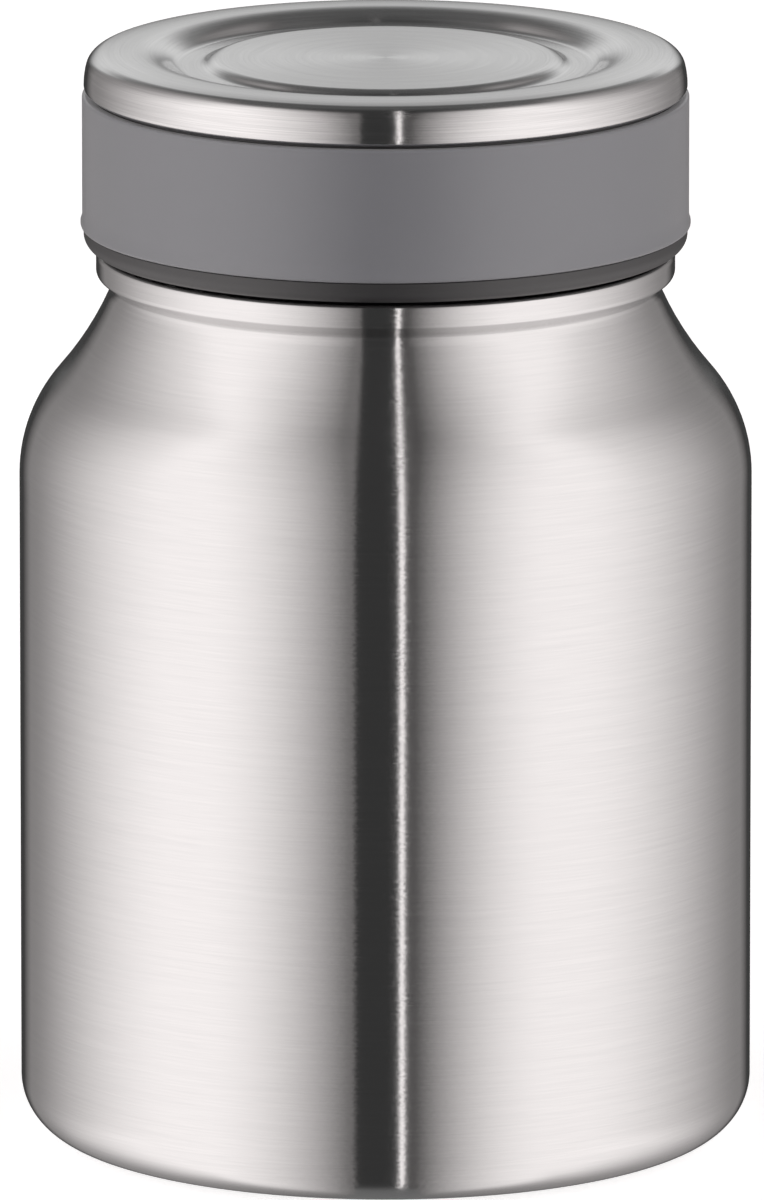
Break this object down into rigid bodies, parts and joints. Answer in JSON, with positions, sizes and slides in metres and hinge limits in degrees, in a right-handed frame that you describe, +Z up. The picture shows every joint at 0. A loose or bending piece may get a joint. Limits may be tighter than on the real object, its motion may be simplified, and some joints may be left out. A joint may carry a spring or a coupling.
{
  "type": "insulated food jar",
  "caption": "Wide-mouth double-wall vacuum food jar in brushed steel with a rounded shoulder and a screw lid with a steel cap and a light grey grip band.",
  "frame": {"origin": "middle of the base plane that the jar stands on", "axes": "+Z up along the jar's axis, from the base to the lid; the jar looks the same all round"},
  "size_m": [0.095, 0.095, 0.1429],
  "materials": {
    "brushed_wall": "satin",
    "brushed_base": "satin",
    "brushed_cap": "satin",
    "bright_steel": "gloss",
    "solder_glass": "gloss",
    "getter": "matte",
    "foil": "gloss",
    "silicone": "matte",
    "dark_plastic": "matte",
    "liner_plastic": "satin",
    "foam": "matte",
    "band_plastic": "matte"
  },
  "bodies": {
    "jar": {"outer_shell": "brushed_wall", "outer_base": "brushed_base", "base_disc": "brushed_base", "vacuum_plug": "solder_glass", "getter_clip": "bright_steel", "getter_pill": "getter", "inner_pot": "bright_steel", "inner_base": "bright_steel", "radiation_foil": "foil"},
    "seal": {"lid_seal": "silicone"},
    "lid": {"lid_body": "dark_plastic", "lid_liner": "liner_plastic", "lid_foam": "foam", "lid_band": "band_plastic", "lid_cap": "brushed_cap"}
  },
  "joints": [
    {"name": "lid_rise", "type": "slide", "parent": "jar", "child": "seal", "axis": [0, 0, 1], "range_m": [0, 0.0271]},
    {"name": "lid_turn", "type": "hinge", "parent": "seal", "child": "lid", "pos_m": [0, 0, 0.12], "axis": [0, 0, 1], "range_deg": [0, 1080]}
  ],
  "couplings": [
    {"joint": "lid_rise", "follows": "lid_turn", "m_per_rad": 0.0014324}
  ]
}
